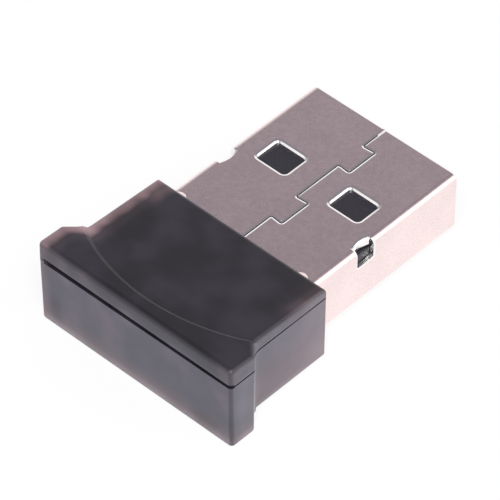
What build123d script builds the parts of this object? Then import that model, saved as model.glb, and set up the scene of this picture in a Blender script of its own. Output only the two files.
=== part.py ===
from build123d import *
import math
import os

# Short-range radio adapter with a flat rectangular data plug. Millimetres, +Z up.
# +Y is the way the plug goes in, and the seam of its shell faces up.
# The origin is at the middle of the whole part, on the plane of the housing's underside.

# Plug shell, a folded sheet
plug_width = 12.0
plug_height = 4.5
plug_out = 13.1               # plug length in front of the housing
plug_inside = 3.4             # plug length held inside the housing
plug_sill = 1.05              # height of the plug's underside above the housing's underside
sheet = 0.3
bend_radius = 0.48            # outer radius of the four long bends
tip_round = 0.1               # rolled edge round the mouth

# Windows in the top and bottom sheets
window_width = 2.55
window_length = 2.15
window_front = 5.2            # from the tip to the front edge
window_in = 1.695             # from the plug's side to the window's outer edge
window_round = 0.34

# Seam with two locking tabs
seam_gap = 0.07
tab_reach = 0.94
tab_flare = 0.08
tab_round = 0.14
tab_one = 2.0                 # from the tip to the front of the first tab
tab_two = 8.12                # from the tip to the front of the second tab
tab_length = 2.42

# Notches through the top bends, bowed on the top and square on the side, each with a lip
notch_front = 7.72
notch_length = 1.46
notch_inset = 0.5             # depth of the square part, from the plug's side
notch_bow = 0.15              # how far the cut bows further into the top
notch_drop = 1.44
notch_round = 0.12
lip_drop = 0.36               # how far the turned-down lip reaches below the top sheet
pocket_drop = 0.5             # depth of the carrier's pocket under each lip

# Round locking pips on the top, half covered by the housing
pip_radius = 0.5
pip_height = 0.12
pip_left_in = 0.8             # pip centre inside the plug's left side
pip_right_in = 1.1            # and inside its right side
pip_behind = 0.12             # pip centre behind the housing's front face

# Legs that hold the shell to the board
leg_length = 1.5
leg_height = 1.5
leg_round = 0.25

# Black carrier and the hollow of the plug
mouth_height = 1.95
hollow_depth = 11.9
carrier_front = 0.5           # from the tip to the carrier's front lip
carrier_lip = 0.45
carrier_block = 2.0           # length of the block behind the hollow
carrier_rail = 0.45
carrier_ramp = 0.3
fit_gap = 0.05                # running clearance between pieces that slot together

# Circuit board with printed contacts
board_thickness = 0.8
board_rear_gap = 0.35
board_corner = 0.5
leg_gap = 0.1                 # between each leg and the board's edge beside it
contact_thickness = 0.04
contact_width = 1.0
contact_outer_in = 2.5        # from the plug's side to the outer contact's middle
contact_inner_side = 1.0
contact_outer_start = 1.4
contact_inner_start = 2.4
contact_end = 9.2
contact_round = 0.2

# Pieces on the board
radio_size = 5.0
radio_height = 0.85
radio_behind = 1.1            # from the carrier's rear to the chip's front edge
radio_leads = 8
radio_lead_width = 0.26
radio_lead_reach = 0.12
radio_lead_height = 0.2
memory_width = 2.9
memory_depth = 1.6
memory_height = 1.0
memory_lead_width = 0.4
memory_lead_reach = 0.55
memory_lead_thickness = 0.15
crystal_width = 3.2
crystal_depth = 2.5
crystal_height = 0.7
crystal_base = 0.22
can_inset = 0.1
can_round = 0.3
led_width = 1.6
led_depth = 0.8
led_base = 0.28
led_height = 0.6
lens_inset = 0.25
inductor_width = 1.6
inductor_depth = 0.8
inductor_height = 0.8
small_length = 1.0
small_width = 0.5
capacitor_height = 0.5
resistor_height = 0.35
part_gap = 0.2                # between rows of parts on top of the board
parts_line = 1.35             # from the shell's rear to the middle line of the parts on top
solder_radius = 0.55
solder_top_radius = 0.25
solder_height = 0.35

# Printed aerial
aerial_width = 0.35
aerial_depth = 1.5
aerial_margin = 0.4
aerial_gap = 0.075            # between the aerial and the crystal or post beside it
aerial_turns = 5
aerial_thickness = 0.04

# Housing, a T in plan
wing_flare = 1.0              # how far each wing stands out, over a 45 degree shoulder
wing_length = 2.05
parting_height = 5.35
side_draft = 0.02             # how much the case narrows towards its underside, each side
rear_draft = 0.13             # the same at the rear face
wall = 0.95
floor = 0.9
front_round = 0.12
rear_round = 0.3
shoulder_round = 0.3
neck_round = 1.2
case_edge = 0.22
belly_step = 0.25             # how far the rear strip stands below the rest of the underside

# Cover
cover_front_height = 6.02     # top of the cover at the housing's front face
cover_slope = 2.4             # degrees, rising to the rear
cover_edge = 0.35
grip_step = 0.235             # how far the rear strip stands above the rest
grip_radius = 15.2            # plan radius of the curved step
grip_rim = 0.07               # chamfer along the step's upper edge
grip_strip = 1.25             # length of the raised strip on the middle line
groove_side = 0.12            # height of the shadow groove on the sides
groove_rear_left = 0.3        # height of the wider rear groove in the case, at its left end
groove_rear_right = 0.15      # and at its right end
groove_rise = 0.12            # how far the rear groove also cuts into the cover
groove_depth = 0.3
groove_rear_in = 0.5          # from the left corner to where the wider rear groove starts
lip_height = 0.7
lip_width = 0.45
post_radius = 0.4
post_inset = 0.55
ledge_width = 0.6
rib_width = 0.8
rib_side = 3.4
overrun = 1.0                 # how far a cutting shape runs past what it cuts
bite = 0.1                    # how far a piece that is joined on reaches into its wall

# Places that follow from the sizes
board_room = wall + board_rear_gap + aerial_margin + aerial_depth + aerial_width / 2
body_length = plug_inside + parts_line + crystal_depth / 2 + aerial_gap + board_room
neck_half = plug_width / 2 + fit_gap + wall
total_length = plug_out + body_length
tip = total_length / 2
front = tip - plug_out
rear = front - body_length
wing_half = neck_half + wing_flare
plug_top = plug_sill + plug_height
plug_middle = plug_sill + plug_height / 2
shell_rear = front - plug_inside
hollow_floor = plug_sill + sheet
hollow_roof = hollow_floor + mouth_height
carrier_top = plug_top - sheet
carrier_half = plug_width / 2 - sheet - fit_gap
carrier_rear = tip - hollow_depth - carrier_block
board_low = hollow_roof + contact_thickness
board_top = board_low + board_thickness
board_half = carrier_half - carrier_rail - fit_gap
board_front = tip - carrier_front - carrier_lip - fit_gap
board_rear = rear + wall + board_rear_gap
board_shoulder = shell_rear - fit_gap * 4
leg_side = plug_width / 2 - sheet / 2
leg_rear = shell_rear - leg_length
window_side = plug_width / 2 - window_in - window_width / 2
pip_sides = (pip_left_in - plug_width / 2, plug_width / 2 - pip_right_in)
contact_outer_side = plug_width / 2 - contact_outer_in
groove_rear_from = groove_rear_in - wing_half
board_wide_half = neck_half - wall - 2 * fit_gap
radio_middle = carrier_rear - radio_behind - radio_size / 2
parts_middle = shell_rear - parts_line
aerial_half = board_wide_half - post_inset - post_radius - aerial_gap - aerial_width / 2
aerial_pitch = aerial_half / aerial_turns

# The row of parts on top of the board, spread evenly between the legs' solder
row_half = leg_side - solder_radius
row_parts = crystal_width + small_length + inductor_width + 2 * small_width + led_width
row_gap = (2 * row_half - row_parts) / 7
crystal_side = row_gap - row_half + crystal_width / 2
beside_crystal = crystal_side + crystal_width / 2 + row_gap + small_length / 2
inductor_side = beside_crystal + small_length / 2 + row_gap + inductor_width / 2
beside_inductor = inductor_side + inductor_width / 2 + row_gap + small_width / 2
led_side = row_half - row_gap - led_width / 2
beside_led = led_side - led_width / 2 - row_gap - small_width / 2

# The two chips under the board, spread evenly between a ledge and the other leg's solder
ledge_half = neck_half - wall - ledge_width
radio_half = radio_size / 2 + radio_lead_reach
chip_gap = (ledge_half + row_half - 2 * radio_half - memory_width) / 3
radio_side = chip_gap + radio_half - ledge_half
memory_side = row_half - chip_gap - memory_width / 2

cover_rear_height = cover_front_height + body_length * math.tan(math.radians(cover_slope))


def block(x0, x1, y0, y1, z0, z1):
    """A box from its low and high faces."""
    middle = ((x0 + x1) / 2, (y0 + y1) / 2, (z0 + z1) / 2)
    return Pos(*middle) * Box(abs(x1 - x0), abs(y1 - y0), abs(z1 - z0))


def across(sketch, start, end):
    """Extrude a sketch drawn looking along +Y from one Y to another; its centre is the plug's."""
    plane = Plane(origin=(0, end, plug_middle), x_dir=(1, 0, 0), z_dir=(0, -1, 0))
    return extrude(plane * sketch, amount=end - start)


def save(shape, name):
    """Write one piece under its own name."""
    shape.label = name
    export_step(shape, "parts/" + name + ".step")


def mirrored(shape):
    """The same shape on the other side of the middle plane."""
    return mirror(shape, about=Plane.YZ)


def seam_band():
    """The thin gap of the seam, seen from above, with its two flared locking tabs."""
    points = [(0, tip + overrun)]
    for start in (tab_one, tab_two):
        near = tip - start
        far = near - tab_length
        points += [(0, near - tab_flare), (tab_reach, near)]
        points += [(tab_reach, far), (0, far + tab_flare)]
    points += [(0, shell_rear - overrun)]
    return trace(FilletPolyline(*points, radius=tab_round), line_width=seam_gap)


def notch_bowl():
    """Radius of the notch's bowed edge, and how far its centre is from the middle plane."""
    half = notch_length / 2
    radius = (half * half + notch_bow * notch_bow) / (2 * notch_bow)
    return radius, plug_width / 2 - notch_inset - notch_bow + radius


def notch():
    """The cut through the right top bend: bowed in the top, square and straight in the side."""
    middle = tip - notch_front - notch_length / 2
    edge = plug_width / 2
    half = notch_length / 2
    radius, centre = notch_bowl()
    bowl = Pos(centre, middle, plug_top) * Cylinder(radius, 2 * sheet + fit_gap)
    bowl = bowl & block(0, edge, middle - half, middle + half, 0, plug_top + overrun)
    low = plug_top - notch_drop
    slot = block(edge - notch_inset, edge + sheet, -half, half, low, plug_top + sheet)
    slot = fillet(slot.edges().filter_by(Axis.X).group_by(Axis.Z)[0], radius=notch_round)
    return bowl + Pos(0, middle, 0) * slot


def notch_lip():
    """The lip of the right notch, turned down from the top sheet into the carrier's pocket."""
    middle = tip - notch_front - notch_length / 2
    half = notch_length / 2 - notch_round
    radius, centre = notch_bowl()
    low = carrier_top - lip_drop
    ring = Cylinder(radius + sheet, lip_drop + bite) - Cylinder(radius, lip_drop + bite)
    ring = Pos(centre, middle, low + (lip_drop + bite) / 2) * ring
    return ring & block(0, plug_width / 2 - notch_inset, middle - half, middle + half, 0, plug_top)


def pip(side, grow=0.0):
    """A low round pip on the top sheet, or the room for it."""
    radius = (pip_radius * pip_radius + pip_height * pip_height) / (2 * pip_height)
    ball = Pos(0, 0, pip_height - radius) * Sphere(radius + grow)
    low = bite - sheet
    high = pip_height + grow
    stem = Pos(0, 0, (low + high) / 2) * Cylinder(pip_radius + grow, high - low)
    return Pos(side, front - pip_behind, plug_top) * (ball & stem)


def make_shell():
    """The folded plug shell: a tube of sheet with its seam, tabs, windows, notches and legs."""
    outer = RectangleRounded(plug_width, plug_height, bend_radius)
    inner = RectangleRounded(plug_width - 2 * sheet, plug_height - 2 * sheet, bend_radius - sheet)
    solid = across(outer, shell_rear, tip)
    mouth = solid.faces().sort_by(Axis.Y)[-1]
    solid = fillet(mouth.edges(), radius=tip_round)
    shell = solid - across(inner, shell_rear - overrun, tip + overrun)
    window = fillet(Rectangle(window_width, window_length).vertices(), radius=window_round)
    at = tip - window_front - window_length / 2
    for side in (-1, 1):
        place = Pos(side * window_side, at, 0)
        shell -= place * extrude(window, amount=plug_top + overrun)
        shell += pip(pip_sides[0] if side < 0 else pip_sides[1])
        shell -= notch() if side > 0 else mirrored(notch())
        shell += notch_lip() if side > 0 else mirrored(notch_lip())
        leg = block(-sheet / 2, sheet / 2, shell_rear - leg_length, shell_rear, 0, leg_height)
        leg = fillet(leg.edges().filter_by(Axis.X).group_by(Axis.Y)[0], radius=leg_round)
        low = (board_low + board_top - leg_height) / 2
        shell += Pos(side * leg_side, 0, low) * leg
    seam = Pos(0, 0, carrier_top - sheet) * extrude(seam_band(), amount=3 * sheet)
    return shell - seam


def make_carrier():
    """The black carrier: a tray over the board, with a block that closes the hollow."""
    corner = bend_radius - sheet
    section = RectangleRounded(2 * carrier_half, plug_height - 2 * sheet, corner)
    full = across(section, carrier_rear, tip - carrier_front)
    hollow = block(-plug_width, plug_width, tip - hollow_depth, tip + overrun, 0, hollow_roof)
    cavity = block(-board_half - fit_gap, board_half + fit_gap, carrier_rear - overrun,
                   tip - carrier_front - carrier_lip, hollow_roof - fit_gap, board_top)
    carrier = full - hollow - cavity
    inner = plug_width / 2 - notch_inset - notch_bow - sheet - fit_gap
    start = tip - notch_front - notch_length
    pocket = block(inner, plug_width, start, start + notch_length,
                   carrier_top - pocket_drop, plug_top)
    carrier = carrier - pocket - mirrored(pocket)
    ramp = carrier.edges().filter_by(Axis.X).group_by(Axis.Y)[-1].group_by(Axis.Z)[0]
    return chamfer(ramp, length=carrier_ramp)


def make_board():
    """The circuit board: a tongue in the plug, then a wide end with a step beside each leg."""
    tongue = block(-board_half, board_half, board_shoulder, board_front, board_low, board_top)
    beside = leg_side - sheet / 2 - leg_gap
    waist_rear = leg_rear - leg_gap
    waist = block(-beside, beside, waist_rear - board_corner, board_shoulder, board_low, board_top)
    plan = Rectangle(2 * board_wide_half, waist_rear - board_rear)
    plan = fillet(plan.vertices().group_by(Axis.Y)[0], radius=board_corner)
    wide = Pos(0, (board_rear + waist_rear) / 2, board_low) * extrude(plan, amount=board_thickness)
    return tongue + waist + wide


def contact(side, start):
    """One gilded contact printed on the face of the board that looks into the hollow."""
    length = contact_end - start
    plan = fillet(Rectangle(contact_width, length).vertices(), radius=contact_round)
    place = Pos(side, tip - start - length / 2, board_low - contact_thickness)
    return place * extrude(plan, amount=contact_thickness)


def make_radio():
    """The radio chip, moulded black, under the board."""
    body = Pos(radio_side, radio_middle, board_low - radio_height / 2)
    chip = body * Box(radio_size, radio_size, radio_height)
    return chamfer(chip.edges().group_by(Axis.Z)[0], length=0.06)


def make_radio_leads():
    """The soldered leads along the four sides of the radio chip."""
    pitch = radio_size / (radio_leads + 1)
    reach = radio_lead_reach
    lead = Box(radio_lead_width, reach, radio_lead_height)
    leads = []
    for turn in range(4):
        for count in range(radio_leads):
            along = (count - (radio_leads - 1) / 2) * pitch
            place = Rot(0, 0, 90 * turn) * Pos(along, (radio_size + reach) / 2, 0)
            leads.append(place * lead)
    at = Pos(radio_side, radio_middle, board_low - radio_lead_height / 2)
    return Compound(children=[at * lead for lead in leads])


def make_memory():
    """The small memory chip, under the board."""
    at = Pos(memory_side, parts_middle, board_low - memory_height / 2)
    chip = at * Box(memory_width, memory_depth, memory_height)
    return chamfer(chip.edges().group_by(Axis.Z)[0], length=0.08)


def make_memory_leads():
    """Five bent leads, three on one side of the memory chip and two on the other."""
    thick = memory_lead_thickness
    reach = memory_lead_reach
    mid = memory_height / 2
    run = [(0, mid - thick), (reach / 2 - thick, mid - thick), (reach / 2 - thick, 0), (reach, 0),
           (reach, thick), (reach / 2, thick), (reach / 2, mid), (0, mid)]
    face = make_face(Polyline(*run, close=True))
    lead = extrude(Plane.YZ * face, amount=memory_lead_width / 2, both=True)
    flipped = Rot(0, 180, 0) * lead
    pitch = memory_width / 3
    leads = []
    for along in (-pitch, 0, pitch):
        leads.append(Pos(along, memory_depth / 2, 0) * flipped)
    for along in (-pitch, pitch):
        leads.append(Pos(along, -memory_depth / 2, 0) * Rot(0, 0, 180) * flipped)
    at = Pos(memory_side, parts_middle, board_low)
    return Compound(children=[at * lead for lead in leads])


def make_crystal_base():
    """The ceramic base of the timing crystal."""
    at = Pos(crystal_side, parts_middle, board_top + crystal_base / 2)
    return at * Box(crystal_width, crystal_depth, crystal_base)


def make_crystal_can():
    """The welded metal lid of the timing crystal."""
    plan = RectangleRounded(crystal_width - 2 * can_inset, crystal_depth - 2 * can_inset, can_round)
    at = Pos(crystal_side, parts_middle, board_top + crystal_base)
    can = at * extrude(plan, amount=crystal_height - crystal_base)
    return fillet(can.faces().sort_by(Axis.Z)[-1].edges(), radius=0.08)


def make_led_base():
    """The white base of the status lamp."""
    at = Pos(led_side, parts_middle, board_top + led_base / 2)
    return at * Box(led_width, led_depth, led_base)


def make_led_lens():
    """The clear lens on the status lamp."""
    at = Pos(led_side, parts_middle, (led_base + led_height) / 2 + board_top)
    lens = at * Box(led_width - 2 * lens_inset, led_depth, led_height - led_base)
    return chamfer(lens.edges().filter_by(Axis.Y).group_by(Axis.Z)[-1], length=0.1)


def make_inductor():
    """The wound inductor on top of the board."""
    at = Pos(inductor_side, parts_middle, board_top + inductor_height / 2)
    return at * Box(inductor_width, inductor_depth, inductor_height)


def small_parts(places, height):
    """A group of like small parts standing on the board, each turned as its place says."""
    made = []
    for along, back, turn in places:
        at = Pos(along, parts_middle + back, board_top + height / 2)
        made.append(at * Rot(0, 0, turn) * Box(small_length, small_width, height))
    return Compound(children=made)


def make_capacitors():
    """The small capacitors, round the crystal, the inductor and the status lamp."""
    step = part_gap + small_width / 2
    ahead = inductor_depth / 2 + step
    places = [(beside_crystal, step, 0), (beside_crystal, -step, 0), (inductor_side, ahead, 0)]
    places += [(beside_inductor, 0, 90), (led_side, led_depth / 2 + step, 0)]
    return small_parts(places, capacitor_height)


def make_resistors():
    """The small resistors, beside the status lamp and behind the inductor."""
    step = part_gap + small_width / 2
    places = [(beside_led, 0, 90), (inductor_side, -inductor_depth / 2 - step, 0)]
    return small_parts(places, resistor_height)


def make_aerial():
    """The printed aerial: a copper line that runs to and fro along the board's rear."""
    low = board_rear + aerial_margin
    high = low + aerial_depth
    start = -aerial_turns * aerial_pitch
    points = [(start, high)]
    for count in range(2 * aerial_turns):
        along = start + count * aerial_pitch
        level = (low, high)[count % 2]
        points += [(along, level), (along + aerial_pitch, level)]
    points += [(start + 2 * aerial_turns * aerial_pitch, low)]
    line = trace(Polyline(*points), line_width=aerial_width)
    return Pos(0, 0, board_top) * extrude(line, amount=aerial_thickness)


def make_solder():
    """The solder that holds each leg to the edge of the board, above and below it."""
    made = []
    leg = block(-sheet / 2, sheet / 2, leg_rear, shell_rear, 0, plug_top)
    cone = Cone(solder_radius, solder_top_radius, solder_height)
    middle = (leg_rear + shell_rear) / 2 - leg_gap
    for side in (-1, 1):
        room = Pos(side * leg_side, 0, 0) * leg
        for height, turn, rise in ((board_top, 0, 1), (board_low, 180, -1)):
            at = Pos(side * leg_side, middle, height + rise * solder_height / 2)
            joint = at * Rot(turn, 0, 0) * cone
            joint = joint & block(-board_wide_half, board_wide_half, rear, front, 0, plug_top)
            made += (joint - room).solids()
    return Compound(children=made)


def outline(side_in=0.0, rear_in=0.0):
    """The T in plan, with 45 degree shoulders, all its corners rounded."""
    neck = neck_half - side_in
    wing = wing_half - side_in
    back = rear + rear_in
    shoulder = rear + wing_length
    right = [(neck, front), (neck, shoulder + wing_flare), (wing, shoulder), (wing, back)]
    left = [(-x, y) for x, y in reversed(right)]
    plan = make_face(Polyline(*right, *left, close=True))
    for level, radius in ((front, front_round), (back, rear_round), (shoulder, shoulder_round),
                          (shoulder + wing_flare, neck_round)):
        corners = [v for v in plan.vertices() if abs(v.Y - level) < 0.001]
        plan = fillet(corners, radius=radius)
    return plan


def plug_room():
    """The space that the plug shell takes through the housing's front wall."""
    width = plug_width + 2 * fit_gap
    height = plug_height + 2 * fit_gap
    return across(RectangleRounded(width, height, bend_radius + fit_gap), shell_rear, tip)


def grip_bowl(height, step, way):
    """A wide round cutter with a 45 degree rim, which leaves the strip that stands up or down."""
    radius = grip_radius - step
    size = 2 * overrun
    bowl = Pos(0, 0, size / 2) * Cone(radius, radius + size, size)
    bowl += Pos(0, 0, -size / 2) * Cylinder(radius, size)
    turn = 0 if way > 0 else 180
    return Pos(0, rear + grip_strip + grip_radius, height) * Rot(turn, 0, 0) * bowl


def rear_groove():
    """The wider part of the shadow groove, along the rear face, which narrows to the right."""
    high = parting_height + groove_rise
    points = [(groove_rear_from, parting_height - groove_rear_left), (groove_rear_from, high)]
    points += [(wing_half + overrun, high), (wing_half + overrun, parting_height - groove_rear_right)]
    side = make_face(Polyline(*points, close=True))
    return extrude(Plane(origin=(0, rear + groove_depth, 0), x_dir=(1, 0, 0), z_dir=(0, -1, 0))
                   * side, amount=groove_depth + overrun)


def make_case():
    """The deep bottom half of the housing, drafted, with its ledges and plug ribs."""
    plan = outline()
    low = outline(side_draft, rear_draft)
    deep = Solid.make_loft([low.wire(), (Pos(0, 0, parting_height) * plan).wire()], ruled=True)
    shallow = deep & block(-wing_half, wing_half, rear, front, belly_step, parting_height)
    deep = fillet(deep.faces().sort_by(Axis.Z)[0].edges(), radius=case_edge)
    shallow = fillet(shallow.faces().sort_by(Axis.Z)[0].edges(), radius=case_edge)
    sides = shallow + (deep - grip_bowl(belly_step, belly_step, -1))
    inside = offset(plan, -wall)
    case = sides - Pos(0, 0, floor) * extrude(inside, amount=parting_height)
    case -= plug_room()
    band = plan - offset(plan, -groove_depth)
    case -= Pos(0, 0, parting_height - groove_side) * extrude(band, amount=overrun)
    case -= rear_groove()
    for side in (-1, 1):
        rib = block(-rib_width / 2, rib_width / 2, shell_rear, front - wall, floor, plug_sill)
        case += Pos(side * rib_side, 0, 0) * rib
        reach = ledge_half + ledge_width + bite
        end = leg_rear - solder_radius
        ledge = block(ledge_half, reach, rear + wall - bite, end, floor, board_low)
        case += ledge if side > 0 else mirrored(ledge)
    return case


def rising(height, run):
    """Everything below a plane that rises to the rear from a height at the front face."""
    grow = math.tan(math.radians(cover_slope))
    start = front + overrun
    end = rear - overrun
    ahead = height - overrun * grow
    back = height + (body_length + overrun) * grow
    points = [(start, run), (start, ahead), (end, back), (end, run)]
    face = make_face(Polyline(*points, close=True))
    return extrude(Plane.YZ * face, amount=wing_half + overrun, both=True)


def topped(plan, height):
    """The cover's outline below one rising plane, with its upper edge rounded."""
    prism = Pos(0, 0, parting_height) * extrude(plan, amount=cover_rear_height)
    body = prism & rising(height, parting_height - overrun)
    top = body.faces().sort_by(Axis.Z)[-1]
    return fillet(top.edges(), radius=cover_edge)


def make_cover():
    """The cover: a sloping top, a raised grip strip with a curved step, lip and posts."""
    plan = outline()
    lower = topped(plan, cover_front_height)
    upper = topped(plan, cover_front_height + grip_step)
    cover = lower + (upper - grip_bowl(cover_rear_height - grip_step, grip_step, 1))
    step = cover.faces().filter_by(GeomType.CONE).sort_by(SortBy.AREA)[-1]
    cover = chamfer(step.edges().sort_by(Axis.Z)[-1], length=grip_rim)
    inside = offset(plan, -wall - fit_gap)
    ring = inside - offset(inside, -lip_width)
    lip = Pos(0, 0, parting_height - lip_height) * extrude(ring, amount=lip_height + bite)
    behind = shell_rear - 4 * fit_gap
    lip -= block(-wing_half, wing_half, behind, front, 0, cover_rear_height)
    cover += lip
    for side in (-1, 1):
        x = side * (board_wide_half - post_inset)
        y = rear + wall + fit_gap + lip_width
        tall = parting_height + bite - board_top
        cover += Pos(x, y, board_top + tall / 2) * Cylinder(post_radius, tall)
    for side in pip_sides:
        cover -= pip(side, fit_gap)
    cover -= rear_groove()
    return cover - plug_room()


os.makedirs("parts", exist_ok=True)
save(make_shell(), "plug_shell")
save(make_carrier(), "plug_carrier")
save(make_board(), "circuit_board")
save(contact(contact_outer_side, contact_outer_start), "contact_power")
save(contact(contact_inner_side, contact_inner_start), "contact_data_minus")
save(contact(-contact_inner_side, contact_inner_start), "contact_data_plus")
save(contact(-contact_outer_side, contact_outer_start), "contact_ground")
save(make_radio(), "radio_chip")
save(make_radio_leads(), "radio_chip_leads")
save(make_memory(), "memory_chip")
save(make_memory_leads(), "memory_chip_leads")
save(make_crystal_base(), "crystal_base")
save(make_crystal_can(), "crystal_can")
save(make_led_base(), "status_lamp_base")
save(make_led_lens(), "status_lamp_lens")
save(make_inductor(), "inductor")
save(make_capacitors(), "capacitors")
save(make_resistors(), "resistors")
save(make_aerial(), "printed_aerial")
save(make_solder(), "leg_solder")
save(make_case(), "bottom_case")
save(make_cover(), "top_cover")
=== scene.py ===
"""Short-range radio adapter with a flat data plug: finishes, stage and camera round its frame."""

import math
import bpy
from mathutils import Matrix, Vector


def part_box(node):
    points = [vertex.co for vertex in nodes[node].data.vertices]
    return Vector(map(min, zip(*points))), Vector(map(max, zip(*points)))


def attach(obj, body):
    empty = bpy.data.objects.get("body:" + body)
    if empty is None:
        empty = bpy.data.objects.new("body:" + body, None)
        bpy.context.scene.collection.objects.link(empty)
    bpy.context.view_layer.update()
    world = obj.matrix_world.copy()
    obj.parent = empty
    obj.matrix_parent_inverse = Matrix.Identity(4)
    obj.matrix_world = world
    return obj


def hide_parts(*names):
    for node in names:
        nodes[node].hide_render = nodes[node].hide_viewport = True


bl_info = {
    "name": "Flat-plug radio adapter",
    "version": (1, 0, 0),
    "blender": (4, 5, 0),
    "location": "3D View > Sidebar > Adapter",
    "description": "Dresses a small radio adapter in its real finishes and sets it on a pale stage",
    "category": "Object",
}

import bpy
import numpy as np
from bpy.props import FloatProperty, FloatVectorProperty, PointerProperty
from mathutils import Matrix, Vector
from mathutils.geometry import delaunay_2d_cdt

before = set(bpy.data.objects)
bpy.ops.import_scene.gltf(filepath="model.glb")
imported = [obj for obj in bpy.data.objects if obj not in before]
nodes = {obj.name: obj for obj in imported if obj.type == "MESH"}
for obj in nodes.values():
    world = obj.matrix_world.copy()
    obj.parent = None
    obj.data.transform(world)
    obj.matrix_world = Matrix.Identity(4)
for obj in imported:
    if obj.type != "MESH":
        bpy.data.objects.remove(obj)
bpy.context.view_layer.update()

MM = 0.001
plug_low, plug_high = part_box("plug_shell")
cover_low, cover_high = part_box("top_cover")
# the housing in millimetres: its rear and front faces, half its width, its parting line, and
# where its wings begin to narrow to the neck
rear, front, half_width = cover_low.y / MM, cover_high.y / MM, cover_high.x / MM
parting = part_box("bottom_case")[1].z / MM
shoulder = rear + 1.575

# settings of a Map Range that eases in and out; where it ends in another, the two are multiplied
SOFT = {"interpolation_type": "SMOOTHSTEP"}
# nearly all of a noise lies between these
SWING = (0.3, 0.7)

# steps in a rounded corner, a long bend and a notch's bow, and the sides and rings of a pip
CORNER_STEPS = 6
BEND_STEPS = 8
BOW_STEPS = 12
PIP_SIDES = 24
PIP_RINGS = 6
BEVEL_SLOPE = math.radians(20.0)
SHARPEST_SMOOTH = math.radians(16.0)


def linear(code):
    """Turn an sRGB hex colour into linear RGBA, as shaders take it."""
    channels = [int(code[place:place + 2], 16) / 255 for place in (1, 3, 5)]
    tones = [c / 12.92 if c <= 0.04045 else ((c + 0.055) / 1.055) ** 2.4 for c in channels]
    return (*tones, 1.0)


def colour(name, code, description):
    """A colour that a user may change, with its default given as sRGB hex."""
    return FloatVectorProperty(name=name, description=description, subtype="COLOR", size=4,
                               min=0.0, max=1.0, default=linear(code))


def length(name, millimetres, description):
    """A length that a user may change, given in millimetres and kept in metres."""
    return FloatProperty(name=name, description=description, unit="LENGTH", precision=5,
                         min=0.0, default=millimetres * MM)


def share(name, value, description):
    """A number between nothing and all."""
    return FloatProperty(name=name, description=description, subtype="FACTOR",
                         min=0.0, max=1.0, default=value)


class HousingFinish(bpy.types.PropertyGroup):
    """The smoke-tinted, satin-moulded housing."""
    # painted light and shade: these tints stand in for light that comes through the thin walls and
    # the edges, and for shade where dark parts stand behind
    shaded_over_board: colour("Over the board", "#242129", "Tint where dark parts stand close behind")
    lit_thin_wall: colour("Thin wall", "#4b4856", "Tint where only a thin wall stands in the way")
    lit_side_wall: colour("Side wall", "#5d5b67", "Tint of the right-hand walls, with nothing behind")
    warm_wall: colour("Warm wall", "#6b5a5f", "Tint where the floor's light comes up a wall")
    lit_edge: colour("Lit edge", "#a98b8f", "Tint where daylight comes through an edge")
    lit_foot: colour("Lit foot", "#9d949a", "Tint where the floor's light lines the walls")
    glow_width: length("Glow width", 0.85, "How far light creeps in from the thin left edge")
    cloud_size: length("Cloud size", 2.6, "Size of the vague shapes that show through")
    wisp_size: length("Wisp size", 1.1818, "Size of the waves in the glow's border")
    grain: length("Tool grain", 0.06, "Grain that the satin tool leaves in the skin")
    grain_depth: length("Grain depth", 0.01, "Depth of that grain")
    roughness: share("Roughness", 0.4, "Roughness of the satin skin")


class ShellFinish(bpy.types.PropertyGroup):
    """The folded, nickel-plated steel shell of the plug."""
    nickel: colour("Nickel", "#fae7e6", "Colour of the dull nickel plate")
    sheared: colour("Sheared edge", "#fffbfa", "Colour of the sheet's sheared edges")
    pit: colour("Pits", "#8c7b7c", "Colour inside the plate's fine pits")
    pit_size: length("Pit size", 0.3, "Distance between the pits, coarser than the real ones")
    drift_size: length("Drift size", 2.857, "Size of the plate's lighter and darker places")
    drag_line: length("Drag lines", 0.08333, "Width of the lines on sheared edges, also coarser")
    relief: length("Relief", 0.02, "Depth of the plate's pits and orange peel")
    edge_bevel: length("Edge bevel", 0.12, "Width of the bevel along the seam and the notches")
    roll_over: length("Roll-over", 0.15, "Width of the bevel round the windows")
    lean: length("Lean", 0.1, "How far the punched walls' broken part leans into the hole")
    broken: length("Broken part", 0.17, "How far below the face those walls break")
    roughness: share("Roughness", 0.26, "Roughness of the plate")


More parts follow.
